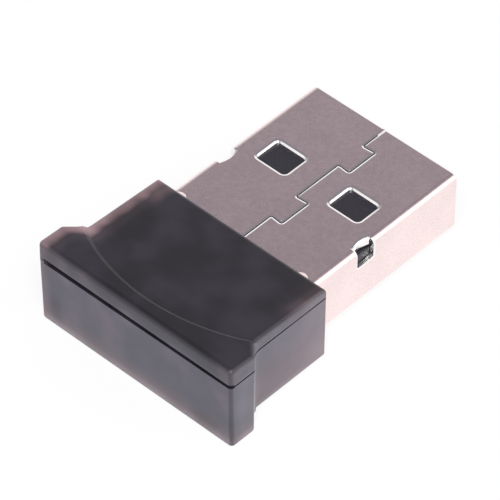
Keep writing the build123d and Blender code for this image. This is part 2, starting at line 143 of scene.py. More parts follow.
class ShellSizes(bpy.types.PropertyGroup):
    """The blank that the shell is punched and folded from."""
    width: length("Width", 2 * plug_high.x / MM, "Width of the folded plug")
    height: length("Height", 4.5, "Height of the folded plug")
    sill: length("Sill", plug_low.z / MM, "Height of the plug's underside above the floor")
    inside: length("Length inside", 3.4, "Length of the plug that the housing holds")
    sheet: length("Sheet", 0.3, "Thickness of the steel sheet")
    bend: length("Bend", 0.48, "Outer radius of the long bends")
    window_width: length("Window width", 2.55, "Width of each window")
    window_length: length("Window length", 2.15, "Length of each window")
    window_front: length("Window place", 5.2, "From the tip to each window")
    window_side: length("Window side", 3.03, "From the middle to each window's middle")
    window_round: length("Window corner", 0.34, "Corner radius of each window")
    seam_gap: length("Seam gap", 0.07, "Gap left along the seam")
    tab_reach: length("Tab reach", 0.94, "How far each locking tab reaches across the seam")
    tab_flare: length("Tab flare", 0.08, "How much longer each tab is at its end")
    tab_round: length("Tab corner", 0.14, "Corner radius of the tabs")
    tab_one: length("First tab", 2.0, "From the tip to the first tab")
    tab_two: length("Second tab", 8.12, "From the tip to the second tab")
    tab_length: length("Tab length", 2.42, "Length of each tab")
    notch_front: length("Notch place", 7.72, "From the tip to each notch")
    notch_length: length("Notch length", 1.46, "Length of each notch")
    notch_inset: length("Notch inset", 0.5, "How far each notch cuts into the top")
    notch_bow: length("Notch bow", 0.15, "How far that cut bows further in")
    notch_drop: length("Notch drop", 1.44, "How far each notch runs down the side")
    notch_round: length("Notch corner", 0.12, "Radius of each notch's lower corners")
    lip_drop: length("Lip drop", 0.36, "How far each notch's lip is turned down")
    lip_gap: length("Lip gap", 0.03, "Left free at each end of a lip")
    lip_ease: length("Lip ease", 0.05, "Width of the bevel along a lip's lower edges")
    pip_radius: length("Pip radius", 0.5, "Radius of the locking pips")
    pip_height: length("Pip height", 0.12, "Height of the locking pips")
    pip_left: length("Left pip", 5.2, "From the middle to the left pip")
    pip_right: length("Right pip", 4.9, "From the middle to the right pip")
    pip_back: length("Pip place", 0.12, "From the housing's front back to each pip's middle")
    leg: length("Leg", 1.5, "Length and height of each leg to the board")
    leg_place: length("Leg place", 0.58, "From the upper bend down to each leg")
    leg_round: length("Leg corner", 0.25, "Corner radius of each leg's end")


class InsideFinish(bpy.types.PropertyGroup):
    """The carrier, the board and what stands on it."""
    carrier: colour("Carrier", "#27252d", "Black glass-filled polyester")
    mask: colour("Solder mask", "#14532b", "Green solder mask over the laminate")
    laminate: colour("Laminate", "#9c9a62", "Bare edge of the glass laminate")
    thread: length("Threads", 0.4, "Distance between the laminate's glass threads")
    relief: length("Relief", 0.02, "Depth of the grain on each of these")
    gilding: colour("Gilding", "#e6c079", "Thin gold over nickel on the contacts")
    resin: colour("Chip resin", "#1b1b1d", "Moulded resin of the chips")
    tin: colour("Tin", "#cfd0d2", "Tinned leads and solder")
    alumina: colour("Alumina", "#d8d2c4", "Pale ceramic of the crystal's base")
    lid: colour("Lid", "#c9c3b6", "Welded metal lid of the crystal")
    lamp_base: colour("Lamp base", "#ece9e0", "White resin of the lamp's base")
    lamp_lens: colour("Lamp lens", "#e9ecee", "Clear resin of the lamp's lens")
    ferrite: colour("Ferrite", "#38352f", "Dark ferrite of the inductor")
    titanate: colour("Titanate", "#8a6a4c", "Brown ceramic of the capacitors")
    copper: colour("Copper", "#c98462", "Bare copper of the aerial")


class StageFinish(bpy.types.PropertyGroup):
    """The pale floor, the lamps and the sky they stand in."""
    floor: colour("Floor", "#fbfbfb", "Colour of the plain floor")
    floor_size: length("Floor size", 6000.0, "Side of the square floor")
    fibre_size: length("Fibre size", 5.0, "Size of the card's faint patches")
    shadow: share("Shadow", 0.15, "How much of the floor's white takes the shadow")
    zenith: colour("Zenith", "#89858d", "The sky overhead, the tent's dim ceiling")
    horizon: colour("Horizon", "#ffffff", "The sky near the floor, the tent's lit walls")
    key: FloatProperty(name="Key lamp", description="Power of the large lamp behind the viewer",
                       min=0.0, default=1.2, unit="POWER")
    key_size: length("Key lamp's size", 160.0, "Side of the key lamp")
    rim: FloatProperty(name="Rim lamp", description="Power of the faint lamp on the far right",
                       min=0.0, default=0.1, unit="POWER")
    rim_size: length("Rim lamp's size", 260.0, "Side of the rim lamp")


def add(tree, kind, inputs=(), **settings):
    """Add a node, make its settings, then set or link its inputs, given in order or by name.

    In order means the inputs that the settings leave in use. A node that is given as an input
    is linked by its first output in use.
    """
    made = tree.nodes.new("ShaderNode" + kind)
    for name, value in settings.items():
        setattr(made, name, value)
    in_use = [socket for socket in made.inputs if socket.enabled]
    for place, value in inputs.items() if isinstance(inputs, dict) else enumerate(inputs):
        socket = made.inputs[place] if isinstance(place, str) else in_use[place]
        if isinstance(value, bpy.types.Node):
            value = next(output for output in value.outputs if output.enabled)
        if isinstance(value, bpy.types.NodeSocket):
            tree.links.new(value, socket)
        else:
            socket.default_value = value
    return made


def begin(name):
    """Start a material: its node tree, and the place of each point in millimetres."""
    made = bpy.data.materials.new(name)
    made.use_nodes = True
    tree = made.node_tree
    tree.nodes.clear()
    where = add(tree, "TexCoord").outputs["Object"]
    return made, tree, add(tree, "VectorMath", [where, 1.0 / MM], operation="SCALE")


def daylight(tree, look, place, wall, wisps):
    """Daylight that comes in through the ends: by the left end, and a little by the right."""
    x, y, z = place
    # how far the end of the wing, or of the narrower neck, is away, with a ragged border
    wing, neck = half_width - 0.12, half_width - 1.1
    half = add(tree, "MapRange", [y, shoulder, shoulder + 1.2, wing, neck], **SOFT)
    side = add(tree, "Math", [x], operation="ABSOLUTE")
    from_end = add(tree, "Math", [half, side], operation="SUBTRACT")
    ragged = add(tree, "Math", [wisps, 0.5, from_end], operation="MULTIPLY_ADD")
    reach = look.glow_width / MM
    full, gone, far_gone = 0.3, 0.4 + reach, 0.4 + 2.0 * reach
    near_end = add(tree, "MapRange", [ragged, full, gone, 1.0, 0.0], **SOFT)
    # a fainter light goes twice as far, most of all at the neck's front corner
    faint = add(tree, "MapRange", [y, front - 2.4, front - 0.8, 0.07, 0.24], **SOFT)
    faint = add(tree, "MapRange", [ragged, gone, far_gone, faint, 0.0], **SOFT)
    near_end = add(tree, "Math", [near_end, faint], operation="MAXIMUM")
    # all along the left end, and at the right end only by its front corner
    left = add(tree, "MapRange", [y, shoulder + 0.4, shoulder + 1.6, 0.52, 0.85], **SOFT)
    left = add(tree, "MapRange", [x, 4.0 - half_width, -1.0, left, 0.0], **SOFT)
    right = add(tree, "MapRange", [y, front - 4.2, front - 1.2, 0.0, 0.17], **SOFT)
    right = add(tree, "MapRange", [x, half_width - 5.0, half_width - 1.5, 0.0, right], **SOFT)
    lit = add(tree, "Math", [left, right], operation="MAXIMUM")
    glow = add(tree, "Math", [near_end, lit], operation="MULTIPLY")
    # the walls stand in the light's way more than the top does
    let_in = add(tree, "MapRange", [wall, 0.0, 1.0, 1.0, 0.34], **SOFT)
    return add(tree, "Math", [glow, let_in], operation="MULTIPLY")


def lined_edges(tree, place, facing, wall, right):
    """White light from the floor that lines the walls' foot and the right walls' upright edges."""
    x, y, z = place
    foot = add(tree, "MapRange", [z, 0.15, 1.0, 0.4, 0.0], **SOFT)
    foot = add(tree, "Math", [wall, foot], operation="MULTIPLY")
    neck_front = add(tree, "MapRange", [y, front - 2.7, front - 0.3, 0.0, 0.2], **SOFT)
    neck_rear = add(tree, "MapRange", [y, shoulder + 1.4, shoulder + 2.5, 0.04, 0.0], **SOFT)
    edges = add(tree, "Math", [neck_front, neck_rear], operation="MAXIMUM")
    # the rounded front corner faces forwards, and the cover's part of it stays dark
    below = add(tree, "MapRange", [z, parting - 0.45, parting - 0.15, 1.0, 0.0], **SOFT)
    corner = add(tree, "MapRange", [facing[1], 0.25, 0.6, 0.0, below], **SOFT)
    edges = add(tree, "Math", [edges, corner], operation="MAXIMUM")
    edges = add(tree, "Math", [edges, right], operation="MULTIPLY")
    return add(tree, "Math", [foot, edges], operation="MAXIMUM")


def warm_walls(tree, place, wall, right, clouds):
    """How far the floor's light comes up inside the walls, and through the neck's right side."""
    x, y, z = place
    foot = add(tree, "MapRange", [z, 0.0, 2.2, 0.7, 0.0], **SOFT)
    neck = add(tree, "MapRange", [z, 1.5, 4.8, 0.6, 0.15], **SOFT)
    neck = add(tree, "MapRange", [y, shoulder + 0.7, shoulder + 1.3, 0.0, neck], **SOFT)
    neck = add(tree, "Math", [right, neck], operation="MULTIPLY")
    patches = add(tree, "MapRange", [clouds, 0.45, 0.7, 0.0, 0.25], **SOFT)
    warmth = add(tree, "Math", [foot, neck], operation="MAXIMUM")
    warmth = add(tree, "Math", [warmth, patches], operation="MAXIMUM")
    return add(tree, "Math", [wall, warmth], operation="MULTIPLY")


def blot(tree, spot, middle, reach):
    """How near a point is to the middle of a soft, egg-shaped spot: one there, nothing outside."""
    away = add(tree, "VectorMath", [spot, middle], operation="SUBTRACT")
    scaled = add(tree, "VectorMath", [away, reach], operation="DIVIDE")
    gap = add(tree, "VectorMath", [scaled], operation="LENGTH")
    return add(tree, "MapRange", [gap, 0.2, 1.0, 1.0, 0.0], **SOFT)


def painted_inner_shade(tree, spot, place, facing, right):
    """Painted shade: posts and ribs inside that show as vague dark shapes, the rear corners, and
    the wing's right end.
    """
    inside_wall = rear + 0.075
    shapes = blot(tree, spot, (1.35 - half_width, inside_wall, 1.7), (0.8, 2.0, 2.1))
    rib = blot(tree, spot, (half_width - 2.3, inside_wall, 0.9), (1.9, 2.0, 1.4))
    grip = blot(tree, spot, (half_width - 1.6, rear + 1.0, parting + 0.65), (3.4, 2.2, 1.0))
    grip = add(tree, "Math", [grip, 0.9], operation="MULTIPLY")
    # where the rear wall meets the right one, the light has to pass through both
    turned = add(tree, "Math", [facing[0], facing[1]], operation="MULTIPLY")
    corner = add(tree, "MapRange", [turned, -0.45, -0.15, 1.7, 0.0], **SOFT)
    # painted shade: the wing's right end is darkest at the rear
    wing_end = add(tree, "MapRange", [place[1], rear + 0.1, rear + 1.4, 1.0, 0.0], **SOFT)
    wing_end = add(tree, "Math", [right, wing_end], operation="MULTIPLY")
    for shape in (rib, grip, corner, wing_end):
        shapes = add(tree, "Math", [shapes, shape], operation="MAXIMUM")
    return shapes


def smoke_plastic(look):
    """Smoke-tinted ABS, injection-moulded in a satin tool.

    The skin has a soft sheen. The tint lets a little light through; that light and its shade are
    painted into the colour, darkest over the board, lighter on the thin walls, and warm along the
    edges that daylight comes through.
    Here and in the functions above, a place is (x, y, z) on the adapter, in millimetres, and
    the numbers after it are where a light or shade begins and ends, and how strong it is there.
    """
    made, tree, spot = begin("smoke_abs_satin_moulded")
    place = add(tree, "SeparateXYZ", [spot]).outputs
    normal = add(tree, "NewGeometry").outputs["Normal"]
    facing = add(tree, "SeparateXYZ", [normal]).outputs
    clouds = add(tree, "TexNoise", {"Vector": spot, "Scale": MM / look.cloud_size,
                                    "Detail": 2.0, "Roughness": 0.45})
    wisps = add(tree, "TexNoise", {"Vector": spot, "Scale": MM / look.wisp_size, "Detail": 1.0})
    # walls are what doesn't face up; the right-hand ones begin further down their rounded edge
    right = add(tree, "MapRange", [facing[0], 0.2, 0.8], **SOFT)
    other_wall = add(tree, "MapRange", [facing[2], 0.3, 0.95, 1.0, 0.0], **SOFT)
    right_wall = add(tree, "MapRange", [facing[2], 0.3, 0.65, 1.0, 0.0], **SOFT)
    wall = add(tree, "Mix", [right, other_wall, right_wall])
    # painted shade: the cover is solid, so less light comes through its rim, which is darker
    # towards the top: from where to where, how dark
    rim = [add(tree, "MapRange", [right, 0.0, 1.0, other, on_right], **SOFT)
           for other, on_right in ((parting - 0.35, parting), (parting + 0.95, parting + 0.25),
                                   (0.16, 0.08), (0.83, 0.36))]
    solid = add(tree, "MapRange", [place[2], *rim], **SOFT)
    solid = add(tree, "Math", [wall, solid], operation="MULTIPLY")
    # painted light through the thin walls and the right-hand walls, and painted shade over the
    # board
    thin = add(tree, "Math", [wall, solid], operation="SUBTRACT")
    empty = add(tree, "Mix", [right, look.lit_thin_wall, look.lit_side_wall], data_type="RGBA")
    tint = add(tree, "Mix", [thin, look.shaded_over_board, empty], data_type="RGBA")
    # painted light from the floor, through the ends, and along the walls' foot and edges
    warmth = warm_walls(tree, place, wall, right, clouds)
    tint = add(tree, "Mix", [warmth, tint, look.warm_wall], data_type="RGBA")
    glow = daylight(tree, look, place, wall, wisps)
    tint = add(tree, "Mix", [glow, tint, look.lit_edge], data_type="RGBA")
    lined = lined_edges(tree, place, facing, wall, right)
    tint = add(tree, "Mix", [lined, tint, look.lit_foot], data_type="RGBA")
    # the clouds show most on the dark top
    limits = [add(tree, "MapRange", [wall, 0.0, 1.0, on_top, on_wall], **SOFT)
              for on_top, on_wall in ((0.55, 0.86), (1.4, 1.1))]
    shade = add(tree, "MapRange", [clouds, *SWING, *limits], **SOFT)
    # painted shade of the posts and ribs inside, the rear corners and the wing's right end
    shapes = painted_inner_shade(tree, spot, place, facing, right)
    dimmed = add(tree, "MapRange", [shapes, 0.0, 2.0, 1.0, 0.4], **SOFT)
    shade = add(tree, "Math", [shade, dimmed], operation="MULTIPLY")
    mottled_and_shaded = add(tree, "VectorMath", [tint, shade], operation="SCALE")
    grain = add(tree, "TexNoise", {"Vector": spot, "Scale": MM / look.grain, "Detail": 3.0})
    skin = add(tree, "Bump", {"Strength": 0.05, "Distance": look.grain_depth, "Height": grain})
    gloss = add(tree, "MapRange", [grain, *SWING, look.roughness - 0.03, look.roughness + 0.05])
    shader = add(tree, "BsdfPrincipled", {"Base Color": mottled_and_shaded, "Roughness": gloss,
                                          "IOR": 1.53, "Normal": skin})
    add(tree, "OutputMaterial", {"Surface": shader})
    return made


def plated_steel(look):
    """Mild steel, stamped and barrel-plated with dull nickel.

    The plate mirrors the room softly, with a faint warm cast, fine pits and a slight orange peel.
    """
    made, tree, spot = begin("nickel_plated_steel_stamped")
    # real pits are about 0.05 mm apart and would not show, so they are drawn coarser
    pits = add(tree, "TexVoronoi", {"Vector": spot, "Scale": MM / look.pit_size})
    peel = add(tree, "TexNoise", {"Vector": spot, "Scale": MM / look.pit_size})
    cast = add(tree, "TexNoise", {"Vector": spot, "Scale": MM / look.drift_size, "Detail": 2.0})
    # each cell has a chance colour, and the one cell in six with the most red holds a pit
    chance = add(tree, "SeparateColor", [pits.outputs["Color"]])
    pit = add(tree, "MapRange", [chance, 0.83, 0.86, 0.0, 0.14], **SOFT)
    pit = add(tree, "MapRange", [pits, 0.0, 0.4, pit, 0.0], **SOFT)
    tone = add(tree, "Mix", [pit, look.nickel, look.pit], data_type="RGBA")
    drift = add(tree, "MapRange", [cast, *SWING, 0.97, 1.02], **SOFT)
    metal = add(tree, "VectorMath", [tone, drift], operation="SCALE")
    gloss = add(tree, "MapRange", [peel, *SWING, look.roughness - 0.02, look.roughness + 0.02],
                **SOFT)
    raised = add(tree, "Math", [peel, 0.25], operation="MULTIPLY")
    raised = add(tree, "Math", [raised, pit], operation="SUBTRACT")
    skin = add(tree, "Bump", {"Strength": 0.3, "Distance": look.relief, "Height": raised})
    shader = add(tree, "BsdfPrincipled", {"Base Color": metal, "Metallic": 1.0,
                                          "Roughness": gloss, "Normal": skin})
    add(tree, "OutputMaterial", {"Surface": shader})
    return made


def sheared_steel(look):
    """The sheet's sheared edge, bright and drawn out, with fine lines down the thickness."""
    made, tree, spot = begin("steel_edge_sheared")
    # the real drag lines are about 0.01 mm wide and would not show, so they are drawn coarser
    drawn_out = add(tree, "Mapping", {"Vector": spot, "Scale": (1.0, 1.0, 0.1)})
    lines = add(tree, "TexNoise", {"Vector": drawn_out, "Scale": MM / look.drag_line,
                                   "Detail": 2.0})
    shade = add(tree, "MapRange", [lines, *SWING, 0.94, 1.0])
    metal = add(tree, "VectorMath", [look.sheared[:3], shade], operation="SCALE")
    shader = add(tree, "BsdfPrincipled", {"Base Color": metal, "Metallic": 1.0,
                                          "Roughness": 0.15})
    add(tree, "OutputMaterial", {"Surface": shader})
    return made


def speckled(look, name, shade, size, roughness, ior=1.5, metallic=0.0, spread=0.1,
             relief=0.05, clear=0.0):
    """A plain material with the grain of its making: a tone that drifts, and a fine relief.

    The grain's size is in millimetres, and a metal keeps its default IOR.
    """
    made, tree, spot = begin(name)
    grain = add(tree, "TexNoise", {"Vector": spot, "Scale": 1.0 / size, "Detail": 3.0})
    tone = add(tree, "MapRange", [grain, *SWING, 1.0 - spread, 1.0 + spread])
    tinted = add(tree, "VectorMath", [shade[:3], tone], operation="SCALE")
    skin = add(tree, "Bump", {"Strength": relief, "Distance": look.relief, "Height": grain})
    inputs = {"Base Color": tinted, "Roughness": roughness, "Metallic": metallic,
              "Transmission Weight": clear, "Normal": skin}
    if not metallic:
        inputs["IOR"] = ior
    add(tree, "OutputMaterial", {"Surface": add(tree, "BsdfPrincipled", inputs)})
    return made


def solder_masked_board(look):
    """Glass-epoxy laminate under green solder mask; its cut edge shows the pale laminate."""
    made, tree, spot = begin("glass_epoxy_solder_masked")
    normal = add(tree, "NewGeometry").outputs["Normal"]
    up = add(tree, "SeparateXYZ", [normal]).outputs["Z"]
    flat = add(tree, "Math", [up], operation="ABSOLUTE")
    masked = add(tree, "Math", [flat, 0.7], operation="GREATER_THAN")
    # the glass cloth under the mask shows as soft bands, one to a thread
    bands_at_one = 0.32
    threads = MM / look.thread
    cloth = add(tree, "TexWave", {"Vector": spot, "Scale": bands_at_one * threads,
                                  "Distortion": 1.0})
    weave = add(tree, "TexNoise", {"Vector": spot, "Scale": threads, "Detail": 2.0})
    shade = add(tree, "MapRange", {"Value": cloth.outputs["Fac"], "To Min": 0.9, "To Max": 1.1})
    tone = add(tree, "Mix", [masked, look.laminate, look.mask], data_type="RGBA")
    tinted = add(tree, "VectorMath", [tone, shade], operation="SCALE")
    skin = add(tree, "Bump", {"Strength": 0.1, "Distance": look.relief, "Height": weave})
    shader = add(tree, "BsdfPrincipled", {"Base Color": tinted, "Roughness": 0.3, "IOR": 1.55,
                                          "Normal": skin})
    add(tree, "OutputMaterial", {"Surface": shader})
    return made


def pale_floor(stage):
    """Matt white card. The viewer and mirrors see it white, with part of the shadow kept."""
    made, tree, spot = begin("card_white_matt")
    fibres = add(tree, "TexNoise", {"Vector": spot, "Scale": MM / stage.fibre_size,
                                    "Detail": 3.0})
    shade = add(tree, "MapRange", {"Value": fibres, "To Min": 0.99, "To Max": 1.0})
    tinted = add(tree, "VectorMath", [stage.floor[:3], shade], operation="SCALE")
    card = add(tree, "BsdfDiffuse", {"Color": tinted})
    white = add(tree, "Emission", {"Color": linear("#ffffff"), "Strength": 1.0})
    shown = add(tree, "MixShader", [stage.shadow, white, card])
    path = add(tree, "LightPath").outputs
    seen = add(tree, "Math", [path["Is Camera Ray"], path["Is Glossy Ray"]],
               operation="MAXIMUM")
    seen = add(tree, "Math", [seen, path["Is Transmission Ray"]], operation="MAXIMUM")
    add(tree, "OutputMaterial", {"Surface": add(tree, "MixShader", [seen, card, shown])})
    return made


def paint(node_name, material):
    """Give a CAD node its finish."""
    slots = nodes[node_name].data.materials
    slots.clear()
    slots.append(material)


def rounded(corners, closed):
    """A line through corners (s, y, radius), with an arc at each that has a radius."""
    points = []
    for place, (s, y, radius) in enumerate(corners):
        here = Vector((s, y))
        if not radius or (not closed and place in (0, len(corners) - 1)):
            points.append(here)
            continue
        before = (Vector(corners[place - 1][:2]) - here).normalized()
        after = (Vector(corners[(place + 1) % len(corners)][:2]) - here).normalized()
        half = before.angle(after) / 2
        middle = here + (before + after).normalized() * radius / math.sin(half)
        start = here + before * radius / math.tan(half) - middle
        end = here + after * radius / math.tan(half) - middle
        turn = start.angle_signed(end)
        for step in range(CORNER_STEPS + 1):
            # Blender counts a signed angle clockwise
            swing = Matrix.Rotation(-turn * step / CORNER_STEPS, 2)
            points.append(middle + swing @ start)
    return points


def shifted(points, distance, closed=True):
    """The same line moved sideways to its left, towards the material."""
    moved = []
    count = len(points)
    sharpest = 0.3
    for place, here in enumerate(points):
        first, last = not closed and place == 0, not closed and place == count - 1
        before = 2 * here - points[1] if first else points[place - 1]
        after = 2 * here - points[place - 1] if last else points[(place + 1) % count]
        one = (here - before).normalized()
        two = (after - here).normalized()
        across = Vector((-one.y - two.y, one.x + two.x)).normalized()
        # a mitre reaches further than a straight stretch, up to that of the sharpest corner
        mitre = max(sharpest, across.dot(Vector((-one.y, one.x))))
        moved.append(here + across * distance / mitre)
    return moved


def blank_loops(size, tip, end):
    """Outline and holes of the flat blank; s runs round the folded section from the seam."""
    flat = size.width / 2 - size.bend
    side = size.height - 2 * size.bend
    corner = size.bend * math.pi / 2
    girth = 4 * flat + 2 * side + 4 * corner
    seam = [(0.0, tip, 0.0)]
    for start in (size.tab_one, size.tab_two):
        near = tip - start
        far = near - size.tab_length
        seam += [(0.0, near - size.tab_flare, size.tab_round),
                 (size.tab_reach, near, size.tab_round),
                 (size.tab_reach, far, size.tab_round),
                 (0.0, far + size.tab_flare, size.tab_round)]
    seam.append((0.0, end, 0.0))
    middle = rounded(seam, False)
    right_edge = shifted(middle, size.seam_gap / 2, False)
    left_edge = [point + Vector((girth, 0.0))
                 for point in shifted(middle[::-1], size.seam_gap / 2, False)]
    # the legs stand at the height of the board, halfway down the sides
    leg_top = flat + corner + size.leg_place
    legs = []
    for low in (leg_top, girth - leg_top - size.leg):
        high = low + size.leg
        legs += [(low, end, 0.0), (low, end - size.leg, size.leg_round),
                 (high, end - size.leg, size.leg_round), (high, end, 0.0)]
    loops = [right_edge + rounded(legs, False) + left_edge]
    near = tip - size.window_front
    far = near - size.window_length
    under = girth / 2
    for s in (size.window_side, under - size.window_side, under + size.window_side,
              girth - size.window_side):
        low = s - size.window_width / 2
        high = s + size.window_width / 2
        window = [(low, far), (low, near), (high, near), (high, far)]
        loops.append(rounded([(*spot, size.window_round) for spot in window], True))
    near = tip - size.notch_front
    far = near - size.notch_length
    inset = size.width / 2 - size.notch_inset
    low = flat + corner + size.notch_drop - size.bend
    bow = [Vector((inset - size.notch_bow * math.sin(math.pi * step / BOW_STEPS),
                   far + size.notch_length * step / BOW_STEPS))
           for step in range(BOW_STEPS + 1)]
    notch = bow + rounded([(inset, near, 0.0), (low, near, size.notch_round),
                           (low, far, size.notch_round), (inset, far, 0.0)], False)[1:-1]
    loops.append(notch)
    loops.append([Vector((girth - point.x, point.y)) for point in reversed(notch)])
    return loops, (flat, side, corner, girth)


def fold(size, spans, s, y, depth):
    """The place in space of a point of the blank, a depth below its outer face."""
    flat, side, corner, girth = spans
    left = s > girth / 2
    along = girth - s if left else s
    low, high = size.sill, size.sill + size.height
    radius = size.bend - depth
    if along < flat:
        x, z = along, high - depth
    elif along < flat + corner:
        turn = (along - flat) / size.bend
        x = flat + radius * math.sin(turn)
        z = high - size.bend + radius * math.cos(turn)
    elif along < flat + corner + side:
        x, z = size.width / 2 - depth, high - size.bend - (along - flat - corner)
    elif along < flat + 2 * corner + side:
        turn = (along - flat - corner - side) / size.bend
        x = flat + radius * math.cos(turn)
        z = low + size.bend - radius * math.sin(turn)
    else:
        x, z = girth / 2 - along, low + depth
    return (-x if left else x, y, z)


def inside_loop(points, loop):
    """Which of the points lie inside a closed loop: an odd number of its edges are beside them."""
    held = np.zeros(len(points), bool)
    x, y = points[:, 0], points[:, 1]
    for one, two in zip(loop, loop[1:] + loop[:1]):
        if one.y != two.y:
            crossed = (one.y > y) != (two.y > y)
            held ^= crossed & (x < (two.x - one.x) * (y - one.y) / (two.y - one.y) + one.x)
    return held


def depth_at_edge(points, loops, widths):
    """How far the bevel along the sheared edges drops each point below the face."""
    depth = np.zeros(len(points))
    for loop, width in zip(loops, widths):
        nearest = np.full(len(points), np.inf)
        for one, two in zip(loop, loop[1:] + loop[:1]):
            run = np.array(two - one)
            away = points - np.array(one)
            along = np.clip(away @ run / max(float(run @ run), 1e-18), 0.0, 1.0)
            gap = away - along[:, None] * run
            nearest = np.minimum(nearest, np.hypot(gap[:, 0], gap[:, 1]))
        short = np.clip(width - nearest, 0.0, width)
        # points on the bevel's upper line belong to the face
        short[nearest > 0.98 * width] = 0.0
        depth = np.maximum(depth, math.tan(BEVEL_SLOPE) * short)
    return depth


def leaning(points, lines, lean, closed):
    """The points moved into the holes along these edges: where the punched walls end inside."""
    moved = points.copy()
    for line in lines:
        for here, there in zip(line, shifted(line, -lean, closed)):
            gap = points - np.array(here)
            moved[np.argmin(np.hypot(gap[:, 0], gap[:, 1]))] = there
    return moved


def cut_blank(size, loops, widths, spans, tip, end):
    """Points and faces of the flat blank, cut along its edges, its bevels and its folds."""
    flat, side, corner, girth = spans
    points, lines = [], []
    for loop, width in zip(loops, widths):
        for ring in (loop, shifted(loop, width)):
            start, count = len(points), len(ring)
            points += ring
            lines += [(start + k, start + (k + 1) % count) for k in range(count)]
    for start in (flat, flat + corner + side):
        for step in range(BEND_STEPS + 1):
            s = start + corner * step / BEND_STEPS
            for place in (s, girth - s):
                # the folds run well past both ends of the blank
                points += [Vector((place, end - 2 * size.leg)),
                           Vector((place, tip + size.leg))]
                lines.append((len(points) - 2, len(points) - 1))
    spots, _, faces, *_ = delaunay_2d_cdt([p / MM for p in points], lines, [], 0, 1e-6)
    plan = np.array([tuple(p) for p in spots]) * MM
    middles = np.array([plan[list(face)].mean(axis=0) for face in faces])
    kept = inside_loop(middles, loops[0])
    for hole in loops[1:]:
        kept &= ~inside_loop(middles, hole)
    faces = [tuple(face) for face, keep in zip(faces, kept) if keep]
    used = sorted({v for face in faces for v in face})
    number = {v: k for k, v in enumerate(used)}
    return plan[used], [tuple(number[v] for v in face) for face in faces]


def folded_sheet(size, look, tip, end):
    """Points, faces, finishes and normals of the shell: a blank, punched, bevelled and folded.

    Each point of the blank has three places: on the outer face, on the inner one, and where the
    punched wall below it breaks. A finish is 0 for plated and 1 for sheared.
    """
    loops, spans = blank_loops(size, tip, end)
    outline, *windows, right_notch, left_notch = loops
    widths = [look.edge_bevel] + [look.roll_over] * len(windows) + [look.edge_bevel] * 2
    plan, faces = cut_blank(size, loops, widths, spans, tip, end)
    depth = depth_at_edge(plan, loops, widths)
    # of the notches only the bowed edge leans
    bows = [right_notch[:BOW_STEPS + 1], left_notch[-BOW_STEPS - 1:]]
    below = leaning(leaning(plan, windows, look.lean, True), bows, look.lean, False)
    count = len(plan)
    outer = [fold(size, spans, s, y, d) for (s, y), d in zip(plan, depth)]
    straight = [fold(size, spans, s, y, size.sheet) for s, y in plan]
    inner = [fold(size, spans, s, y, size.sheet) for s, y in below]
    broken = [fold(size, spans, s, y, look.broken) for s, y in below]
    edges = {(a, b) for face in faces for a, b in zip(face, face[1:] + face[:1])}
    rims = sorted((a, b) for a, b in edges if (b, a) not in edges)
    walls = [(b, a, a + 2 * count, b + 2 * count) for a, b in rims]
    walls += [(b + 2 * count, a + 2 * count, a + count, b + count) for a, b in rims]
    back = [tuple(v + count for v in reversed(face)) for face in faces]
    finish = [1 if depth[list(face)].any() else 0 for face in faces]
    finish += [0] * len(back) + [1] * len(walls)
    rise = [(Vector(a) - Vector(b)).normalized() for a, b in zip(outer, straight)]
    normals = rise + [-n for n in rise] + [Vector()] * count
    return outer + inner + broken, faces + back + walls, finish, normals


def turned_lip(size, look, tip, side):
    """The lip below a notch's bowed edge: a strip that follows the bow and hangs down."""
    half = size.notch_length / 2 - size.lip_gap
    middle = tip - size.notch_front - size.notch_length / 2
    radius = (size.notch_length ** 2 / 4 + size.notch_bow ** 2) / (2 * size.notch_bow)
    centre = size.width / 2 - size.notch_inset - size.notch_bow + radius + look.lean
    high = size.sill + size.height
    # the lip begins inside the sheet, so that no gap shows
    top = high - 0.7 * size.sheet
    low = high - size.sheet - size.lip_drop
    ease = size.lip_ease
    section = ((0.0, top), (0.0, low + ease), (ease, low), (size.sheet - ease, low),
               (size.sheet, low + ease), (size.sheet, top))
    count = len(section)
    reach = math.asin(half / radius)
    spots, faces = [], []
    for step in range(BOW_STEPS + 1):
        turn = reach * (2 * step / BOW_STEPS - 1)
        for out, z in section:
            x = centre - (radius + out) * math.cos(turn)
            spots.append((side * x, middle + (radius + out) * math.sin(turn), z))
    for start in range(0, BOW_STEPS * count, count):
        for k in range(count):
            after = (k + 1) % count
            faces.append((start + k, start + after, start + count + after, start + count + k))
    ends = len(spots)
    faces += [tuple(reversed(range(count))), tuple(range(ends - count, ends))]
    return spots, faces if side > 0 else [face[::-1] for face in faces]


def domed_pip(size, x, y):
    """A low round pip raised in the top face."""
    radius = (size.pip_radius ** 2 + size.pip_height ** 2) / (2 * size.pip_height)
    top = size.sill + size.height + size.pip_height
    spots, faces = [(x, y, top)], []
    for ring in range(1, PIP_RINGS + 2):
        out = size.pip_radius * min(ring, PIP_RINGS) / PIP_RINGS
        # the last ring goes straight down into the sheet
        sunk = size.sheet / 2 if ring > PIP_RINGS else 0.0
        z = top - (radius - math.sqrt(radius * radius - out * out)) - sunk
        for step in range(PIP_SIDES):
            turn = math.tau * step / PIP_SIDES
            spots.append((x + out * math.cos(turn), y + out * math.sin(turn), z))
    for step in range(PIP_SIDES):
        after = (step + 1) % PIP_SIDES
        faces.append((0, 1 + step, 1 + after))
        for start in range(1, 1 + PIP_RINGS * PIP_SIDES, PIP_SIDES):
            below = start + PIP_SIDES
            faces.append((start + step, below + step, below + after, start + after))
    return spots, faces


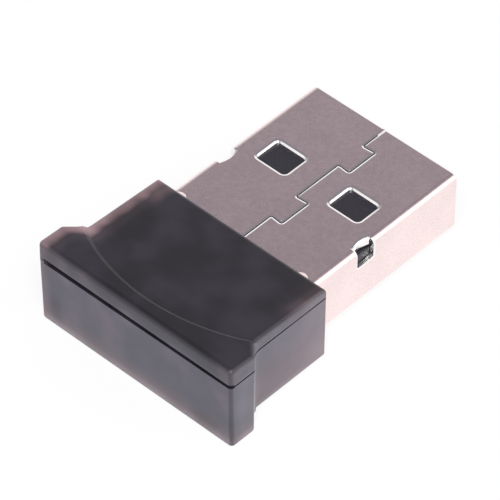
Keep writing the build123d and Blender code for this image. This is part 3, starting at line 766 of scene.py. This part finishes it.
def new_piece(name, spots, faces, finish, normals, materials):
    """A piece made from points and faces; its plated faces take the points' normals, if any."""
    mesh = bpy.data.meshes.new(name)
    mesh.from_pydata(spots, [], faces)
    for material in materials:
        mesh.materials.append(material)
    mesh.polygons.foreach_set("material_index", finish)
    mesh.shade_smooth()
    mesh.set_sharp_from_angle(angle=SHARPEST_SMOOTH)
    mesh.normals_split_custom_set([Vector() if cut else normals[v]
                                   for face, cut in zip(faces, finish) for v in face])
    piece = bpy.data.objects.new(name, mesh)
    bpy.context.scene.collection.objects.link(piece)
    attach(piece, "root")
    return piece


class ADAPTER_OT_housing(bpy.types.Operator):
    """Finish the cover and the case in smoke plastic"""
    bl_idname = "adapter.housing"
    bl_label = "Housing"

    def execute(self, context):
        plastic = smoke_plastic(context.scene.adapter_housing)
        paint("top_cover", plastic)
        paint("bottom_case", plastic)
        return {"FINISHED"}


class ADAPTER_OT_shell(bpy.types.Operator):
    """Punch the plug's shell from a blank, ease its sheared edges and fold it round the plug"""
    bl_idname = "adapter.shell"
    bl_label = "Plug shell"

    def execute(self, context):
        look = context.scene.adapter_shell
        size = context.scene.adapter_blank
        tip, housing = plug_high.y, cover_high.y
        spots, faces, finish, normals = folded_sheet(size, look, tip, housing - size.inside)
        if not faces:
            raise RuntimeError("the plug shell has no faces")
        # the lips are sheared, the pips plated
        extras = [(*turned_lip(size, look, tip, side), 1) for side in (1, -1)]
        extras += [(*domed_pip(size, x, housing - size.pip_back), 0)
                   for x in (-size.pip_left, size.pip_right)]
        for more, sides, cut in extras:
            start = len(spots)
            spots = spots + more
            faces = faces + [tuple(v + start for v in side) for side in sides]
            finish = finish + [cut] * len(sides)
            normals = normals + [Vector()] * len(more)
        shell = new_piece("folded_shell", spots, faces, finish, normals,
                          [plated_steel(look), sheared_steel(look)])
        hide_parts("plug_shell")
        return {"FINISHED"}


class ADAPTER_OT_carrier(bpy.types.Operator):
    """Mould the black carrier that the board lies in"""
    bl_idname = "adapter.carrier"
    bl_label = "Carrier"

    def execute(self, context):
        look = context.scene.adapter_inside
        # glass-filled polyester, moulded: matt, with a faint swirl of fibres
        paint("plug_carrier", speckled(look, "pbt_glass_filled_moulded", look.carrier, size=0.25,
                                       roughness=0.42, ior=1.57, spread=0.15, relief=0.1))
        return {"FINISHED"}


class ADAPTER_OT_board(bpy.types.Operator):
    """Make the board, its printed contacts and aerial, and the solder at the legs"""
    bl_idname = "adapter.board"
    bl_label = "Board"

    def execute(self, context):
        look = context.scene.adapter_inside
        paint("circuit_board", solder_masked_board(look))
        # hard gold over nickel, plated: warm and even, with light wear
        gold = speckled(look, "gold_over_nickel_plated", look.gilding, size=0.3, roughness=0.2,
                        metallic=1.0, spread=0.06)
        for name in ("power", "data_minus", "data_plus", "ground"):
            paint("contact_" + name, gold)
        # bare etched copper, a little dull
        paint("printed_aerial", speckled(look, "copper_etched", look.copper, size=0.2,
                                         roughness=0.35, metallic=1.0))
        # tin solder, reflowed: bright, softly rippled
        paint("leg_solder", speckled(look, "tin_solder_reflowed", look.tin, size=0.15,
                                     roughness=0.28, metallic=1.0, spread=0.08, relief=0.2))
        return {"FINISHED"}


class ADAPTER_OT_parts(bpy.types.Operator):
    """Finish the chips, the crystal, the lamp, the inductor and the small parts"""
    bl_idname = "adapter.parts"
    bl_label = "Parts on the board"

    def execute(self, context):
        look = context.scene.adapter_inside
        # epoxy filled with silica, transfer-moulded: near black, matt and slightly sandy
        resin = speckled(look, "epoxy_silica_moulded", look.resin, size=0.08, roughness=0.55,
                         ior=1.55, relief=0.15)
        # copper leads, dipped in tin: bright and even
        tin = speckled(look, "copper_tinned", look.tin, size=0.12, roughness=0.3, metallic=1.0,
                       spread=0.05)
        for name in ("radio_chip", "memory_chip"):
            paint(name, resin)
            paint(name + "_leads", tin)
        # alumina, fired: chalky white-grey, fine grain
        paint("crystal_base", speckled(look, "alumina_fired", look.alumina, size=0.05,
                                       roughness=0.6, ior=1.76))
        # nickel-iron lid, seam-welded: satin and even
        paint("crystal_can", speckled(look, "nickel_iron_lid_plated", look.lid, size=0.1,
                                      roughness=0.3, metallic=1.0, spread=0.04))
        # filled polyamide, moulded: even, chalky white
        paint("status_lamp_base", speckled(look, "polyamide_white_moulded", look.lamp_base,
                                           size=0.1, roughness=0.5, spread=0.03))
        # clear epoxy, cast: glassy, with the faintest ripple
        paint("status_lamp_lens", speckled(look, "epoxy_clear_cast", look.lamp_lens, size=0.3,
                                           roughness=0.08, ior=1.51, spread=0.02, relief=0.02,
                                           clear=0.9))
        # ferrite, pressed and fired: dark and grainy
        paint("inductor", speckled(look, "ferrite_fired", look.ferrite, size=0.06,
                                   roughness=0.65, ior=2.2))
        # barium titanate, fired: brown and smooth
        paint("capacitors", speckled(look, "barium_titanate_fired", look.titanate, size=0.09,
                                     roughness=0.4, ior=2.1))
        # glass-glazed resistor body: black and glossy
        paint("resistors", speckled(look, "resistor_glass_glazed", look.resin, size=0.1,
                                    roughness=0.25))
        return {"FINISHED"}


def lamp(name, power, size, spot, target):
    """A soft square white lamp that looks at a point."""
    data = bpy.data.lights.new(name, "AREA")
    data.energy = power
    data.size = size
    made = bpy.data.objects.new(name, data)
    bpy.context.scene.collection.objects.link(made)
    made.location = spot
    made.rotation_mode = "QUATERNION"
    made.rotation_quaternion = (Vector(target) - Vector(spot)).to_track_quat("-Z", "Y")


class ADAPTER_OT_stage(bpy.types.Operator):
    """Lay the floor, hang the sky and the lamps, and set the camera where the photographer stood"""
    bl_idname = "adapter.stage"
    bl_label = "Stage"

    def execute(self, context):
        scene = context.scene
        stage = scene.adapter_stage
        self.lay_floor(scene, stage)
        self.hang_sky(scene, stage)
        on_adapter = (0.0, 0.0, 0.002)
        lamp("key_lamp", stage.key, stage.key_size, (0.16, -0.18, 0.34), on_adapter)
        lamp("rim_lamp", stage.rim, stage.rim_size, (0.204, 0.156, 0.156), on_adapter)
        self.set_camera(scene)
        scene.view_settings.view_transform = "Standard"
        return {"FINISHED"}

    def lay_floor(self, scene, stage):
        """A plain square of white card under the adapter."""
        half = stage.floor_size / 2
        mesh = bpy.data.meshes.new("pale_floor")
        corners = [(-half, -half, 0.0), (half, -half, 0.0), (half, half, 0.0), (-half, half, 0.0)]
        mesh.from_pydata(corners, [], [(0, 1, 2, 3)])
        mesh.materials.append(pale_floor(stage))
        floor = bpy.data.objects.new("pale_floor", mesh)
        scene.collection.objects.link(floor)

    def hang_sky(self, scene, stage):
        """Grey overhead and white near the floor, as in a light tent with a dim ceiling."""
        sky = bpy.data.worlds.new("light_tent")
        scene.world = sky
        sky.use_nodes = True
        tree = sky.node_tree
        tree.nodes.clear()
        towards = add(tree, "TexCoord").outputs["Generated"]
        x, y, z = add(tree, "SeparateXYZ", [towards]).outputs
        # the ceiling, but for its right end
        ceiling = add(tree, "MapRange", [x, 0.3, 0.5, 1.0, 0.0], **SOFT)
        ceiling = add(tree, "MapRange", [z, 0.42, 0.66, 0.0, ceiling], **SOFT)
        # the tent's far left is in shade, but for its foot
        far_left = add(tree, "MapRange", [x, -0.8, -0.6, 0.8, 0.0], **SOFT)
        far_left = add(tree, "MapRange", [z, 0.22, 0.36, 0.0, far_left], **SOFT)
        dim = add(tree, "Math", [ceiling, far_left], operation="MAXIMUM")
        tone = add(tree, "Mix", [dim, stage.horizon, stage.zenith], data_type="RGBA")
        light = add(tree, "Background", {"Color": tone, "Strength": 1.0})
        add(tree, "OutputWorld", {"Surface": light})

    def set_camera(self, scene):
        """The photograph's view: 42 degrees to the right of the rear, 45 degrees up."""
        azimuth, elevation, roll = (math.radians(a) for a in (42.1732, 45.0504, 0.8530))
        distance = 0.269818
        target = Vector((0.0, 0.001275, 0.003))
        back = Vector((math.sin(azimuth) * math.cos(elevation),
                       -math.cos(azimuth) * math.cos(elevation), math.sin(elevation)))
        side = (-back).cross(Vector((0.0, 0.0, 1.0))).normalized()
        rise = side.cross(-back)
        right = math.cos(roll) * side + math.sin(roll) * rise
        top = math.cos(roll) * rise - math.sin(roll) * side
        turn = Matrix((right, top, back)).transposed()
        data = bpy.data.cameras.new("photo_camera")
        data.angle = math.radians(6.51208)
        data.shift_x = -0.05168
        data.shift_y = -0.01822
        data.clip_start = 0.01
        data.clip_end = 10.0
        camera = bpy.data.objects.new("photo_camera", data)
        camera.matrix_world = Matrix.Translation(target + back * distance) @ turn.to_4x4()
        scene.collection.objects.link(camera)
        scene.camera = camera


class ADAPTER_PT_panel(bpy.types.Panel):
    """Every step of the adapter, with its sizes and colours"""
    bl_idname = "ADAPTER_PT_panel"
    bl_label = "Flat-plug radio adapter"
    bl_space_type = "VIEW_3D"
    bl_region_type = "UI"
    bl_category = "Adapter"

    def draw(self, context):
        for operator in operators:
            self.layout.operator(operator.bl_idname)
        for name, group in groups.items():
            box = self.layout.box()
            box.label(text=group.__doc__)
            for field in group.__annotations__:
                box.prop(getattr(context.scene, name), field)


operators = (ADAPTER_OT_housing, ADAPTER_OT_shell, ADAPTER_OT_carrier, ADAPTER_OT_board,
             ADAPTER_OT_parts, ADAPTER_OT_stage)
groups = {"adapter_housing": HousingFinish, "adapter_shell": ShellFinish,
          "adapter_blank": ShellSizes, "adapter_inside": InsideFinish,
          "adapter_stage": StageFinish}


def register():
    for kind in (*groups.values(), *operators, ADAPTER_PT_panel):
        bpy.utils.register_class(kind)
    for name, group in groups.items():
        setattr(bpy.types.Scene, name, PointerProperty(type=group))


def unregister():
    for name in groups:
        delattr(bpy.types.Scene, name)
    for kind in (ADAPTER_PT_panel, *reversed(operators), *groups.values()):
        bpy.utils.unregister_class(kind)


def main():
    """Register the add-on and run each step."""
    register()
    bpy.ops.adapter.housing()
    bpy.ops.adapter.shell()
    bpy.ops.adapter.carrier()
    bpy.ops.adapter.board()
    bpy.ops.adapter.parts()
    bpy.ops.adapter.stage()
    bpy.context.view_layer.update()


if __name__ == "__main__":
    main()
